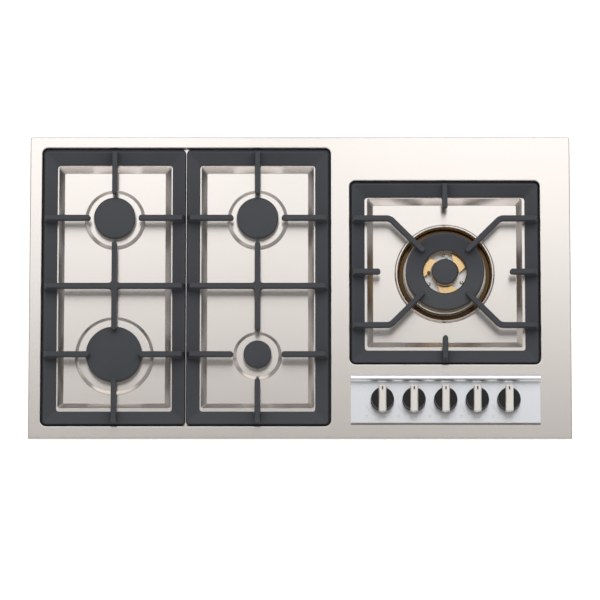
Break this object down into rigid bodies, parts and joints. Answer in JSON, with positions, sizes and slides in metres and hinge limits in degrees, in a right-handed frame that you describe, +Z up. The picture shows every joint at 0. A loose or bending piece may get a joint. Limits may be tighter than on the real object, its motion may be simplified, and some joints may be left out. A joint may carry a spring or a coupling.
{
  "type": "built-in gas cooktop",
  "caption": "Built-in gas cooktop in brushed steel with lift-off burners, a brass wok burner, cast pan supports and push-and-turn knobs on a raised aluminium fascia.",
  "frame": {"origin": "centre of the bottom tray's underside, under the middle of the panel", "axes": "+X to the user's right along the width, +Y to the back, +Z up"},
  "size_m": [0.9, 0.51, 0.0862],
  "materials": {
    "panel_steel": "brushed along the width, satin",
    "tray_steel": "zinc-coated sheet, dull",
    "plate_aluminium": "brushed and anodised",
    "cast_aluminium": "cast, lightly machined",
    "pipe_aluminium": "drawn tube",
    "cast_iron": "satin enamel",
    "enamel": "satin vitreous enamel",
    "brass": "machined",
    "knob_black": "satin gloss",
    "knob_metal": "fine satin",
    "black_plastic": "moulded",
    "ceramic": null,
    "lead_sheath": "silicone sheath",
    "soft_rubber": "matte",
    "spindle_steel": "turned"
  },
  "bodies": {
    "hob": {"top_panel": "panel_steel", "control_plate": "plate_aluminium", "bottom_tray": "tray_steel", "worktop_seal": "soft_rubber", "fixing_clamps": "tray_steel", "fixing_screws": "spindle_steel", "support_rails": "tray_steel", "gas_manifold": "spindle_steel", "gas_inlet": "brass", "gas_pipes": "pipe_aluminium", "tap_bodies": "brass", "ignition_module": "black_plastic", "ignition_leads": "lead_sheath", "terminal_block": "black_plastic", "cable_gland": "black_plastic", "injectors": "brass", "spark_plugs": "ceramic", "thermocouples": "brass", "burner_cups": "cast_aluminium", "wok_cup": "cast_aluminium", "wok_dish": "brass"},
    "plug_1": {"tap_plug_1": "brass"},
    "control_1": {"spindle_1": "spindle_steel", "knob_1": "knob_black", "knob_bar_1": "knob_metal"},
    "plug_2": {"tap_plug_2": "brass"},
    "control_2": {"spindle_2": "spindle_steel", "knob_2": "knob_black", "knob_bar_2": "knob_metal"},
    "plug_3": {"tap_plug_3": "brass"},
    "control_3": {"spindle_3": "spindle_steel", "knob_3": "knob_black", "knob_bar_3": "knob_metal"},
    "plug_4": {"tap_plug_4": "brass"},
    "control_4": {"spindle_4": "spindle_steel", "knob_4": "knob_black", "knob_bar_4": "knob_metal"},
    "plug_5": {"tap_plug_5": "brass"},
    "control_5": {"spindle_5": "spindle_steel", "knob_5": "knob_black", "knob_bar_5": "knob_metal"},
    "left_support": {"left_support": "cast_iron", "left_support_feet": "soft_rubber"},
    "centre_support": {"centre_support": "cast_iron", "centre_support_feet": "soft_rubber"},
    "wok_support": {"wok_support": "cast_iron", "wok_support_feet": "soft_rubber"},
    "rear_left_crown": {"rear_left_crown": "cast_aluminium"},
    "rear_left_cap": {"rear_left_cap": "enamel"},
    "rear_centre_crown": {"rear_centre_crown": "cast_aluminium"},
    "rear_centre_cap": {"rear_centre_cap": "enamel"},
    "front_left_crown": {"front_left_crown": "cast_aluminium"},
    "front_left_cap": {"front_left_cap": "enamel"},
    "front_centre_crown": {"front_centre_crown": "cast_aluminium"},
    "front_centre_cap": {"front_centre_cap": "enamel"},
    "wok_outer_crown": {"wok_outer_crown": "brass"},
    "wok_ring_cap": {"wok_ring_cap": "enamel"},
    "wok_inner_crown": {"wok_inner_crown": "brass"},
    "wok_centre_cap": {"wok_centre_cap": "enamel"}
  },
  "joints": [
    {"name": "knob_1_turn", "type": "hinge", "parent": "hob", "child": "plug_1", "pos_m": [0.13606, -0.18971, 0.032], "axis": [0, 0, 1], "range_deg": [0, 210]},
    {"name": "knob_1_push", "type": "slide", "parent": "plug_1", "child": "control_1", "axis": [0, 0, -1], "range_m": [0, 0.0035], "stiffness_N_per_m": 1500, "springref_m": -0.003},
    {"name": "knob_2_turn", "type": "hinge", "parent": "hob", "child": "plug_2", "pos_m": [0.18831, -0.18971, 0.032], "axis": [0, 0, 1], "range_deg": [0, 210]},
    {"name": "knob_2_push", "type": "slide", "parent": "plug_2", "child": "control_2", "axis": [0, 0, -1], "range_m": [0, 0.0035], "stiffness_N_per_m": 1500, "springref_m": -0.003},
    {"name": "knob_3_turn", "type": "hinge", "parent": "hob", "child": "plug_3", "pos_m": [0.24055, -0.18971, 0.032], "axis": [0, 0, 1], "range_deg": [0, 210]},
    {"name": "knob_3_push", "type": "slide", "parent": "plug_3", "child": "control_3", "axis": [0, 0, -1], "range_m": [0, 0.0035], "stiffness_N_per_m": 1500, "springref_m": -0.003},
    {"name": "knob_4_turn", "type": "hinge", "parent": "hob", "child": "plug_4", "pos_m": [0.2928, -0.18971, 0.032], "axis": [0, 0, 1], "range_deg": [0, 210]},
    {"name": "knob_4_push", "type": "slide", "parent": "plug_4", "child": "control_4", "axis": [0, 0, -1], "range_m": [0, 0.0035], "stiffness_N_per_m": 1500, "springref_m": -0.003},
    {"name": "knob_5_turn", "type": "hinge", "parent": "hob", "child": "plug_5", "pos_m": [0.34505, -0.18971, 0.032], "axis": [0, 0, 1], "range_deg": [0, 210]},
    {"name": "knob_5_push", "type": "slide", "parent": "plug_5", "child": "control_5", "axis": [0, 0, -1], "range_m": [0, 0.0035], "stiffness_N_per_m": 1500, "springref_m": -0.003},
    {"name": "left_support_lift", "type": "slide", "parent": "hob", "child": "left_support", "axis": [0, 0, 1], "range_m": [0, 0.13]},
    {"name": "centre_support_lift", "type": "slide", "parent": "hob", "child": "centre_support", "axis": [0, 0, 1], "range_m": [0, 0.13]},
    {"name": "wok_support_lift", "type": "slide", "parent": "hob", "child": "wok_support", "axis": [0, 0, 1], "range_m": [0, 0.13]},
    {"name": "rear_left_crown_lift", "type": "slide", "parent": "hob", "child": "rear_left_crown", "axis": [0, 0, 1], "range_m": [0, 0.075]},
    {"name": "rear_left_cap_lift", "type": "slide", "parent": "rear_left_crown", "child": "rear_left_cap", "axis": [0, 0, 1], "range_m": [0, 0.045]},
    {"name": "rear_centre_crown_lift", "type": "slide", "parent": "hob", "child": "rear_centre_crown", "axis": [0, 0, 1], "range_m": [0, 0.075]},
    {"name": "rear_centre_cap_lift", "type": "slide", "parent": "rear_centre_crown", "child": "rear_centre_cap", "axis": [0, 0, 1], "range_m": [0, 0.045]},
    {"name": "front_left_crown_lift", "type": "slide", "parent": "hob", "child": "front_left_crown", "axis": [0, 0, 1], "range_m": [0, 0.075]},
    {"name": "front_left_cap_lift", "type": "slide", "parent": "front_left_crown", "child": "front_left_cap", "axis": [0, 0, 1], "range_m": [0, 0.045]},
    {"name": "front_centre_crown_lift", "type": "slide", "parent": "hob", "child": "front_centre_crown", "axis": [0, 0, 1], "range_m": [0, 0.075]},
    {"name": "front_centre_cap_lift", "type": "slide", "parent": "front_centre_crown", "child": "front_centre_cap", "axis": [0, 0, 1], "range_m": [0, 0.045]},
    {"name": "wok_outer_crown_lift", "type": "slide", "parent": "hob", "child": "wok_outer_crown", "axis": [0, 0, 1], "range_m": [0, 0.075]},
    {"name": "wok_ring_cap_lift", "type": "slide", "parent": "wok_outer_crown", "child": "wok_ring_cap", "axis": [0, 0, 1], "range_m": [0, 0.045]},
    {"name": "wok_inner_crown_lift", "type": "slide", "parent": "hob", "child": "wok_inner_crown", "axis": [0, 0, 1], "range_m": [0, 0.075]},
    {"name": "wok_centre_cap_lift", "type": "slide", "parent": "wok_inner_crown", "child": "wok_centre_cap", "axis": [0, 0, 1], "range_m": [0, 0.045]}
  ],
  "couplings": [
    {"joint": "front_left_crown_lift", "follows": "left_support_lift", "ratio": 0.55},
    {"joint": "front_left_cap_lift", "follows": "left_support_lift", "ratio": 0.2},
    {"joint": "wok_outer_crown_lift", "follows": "wok_support_lift", "ratio": 0.55},
    {"joint": "wok_ring_cap_lift", "follows": "wok_support_lift", "ratio": 0.2}
  ]
}
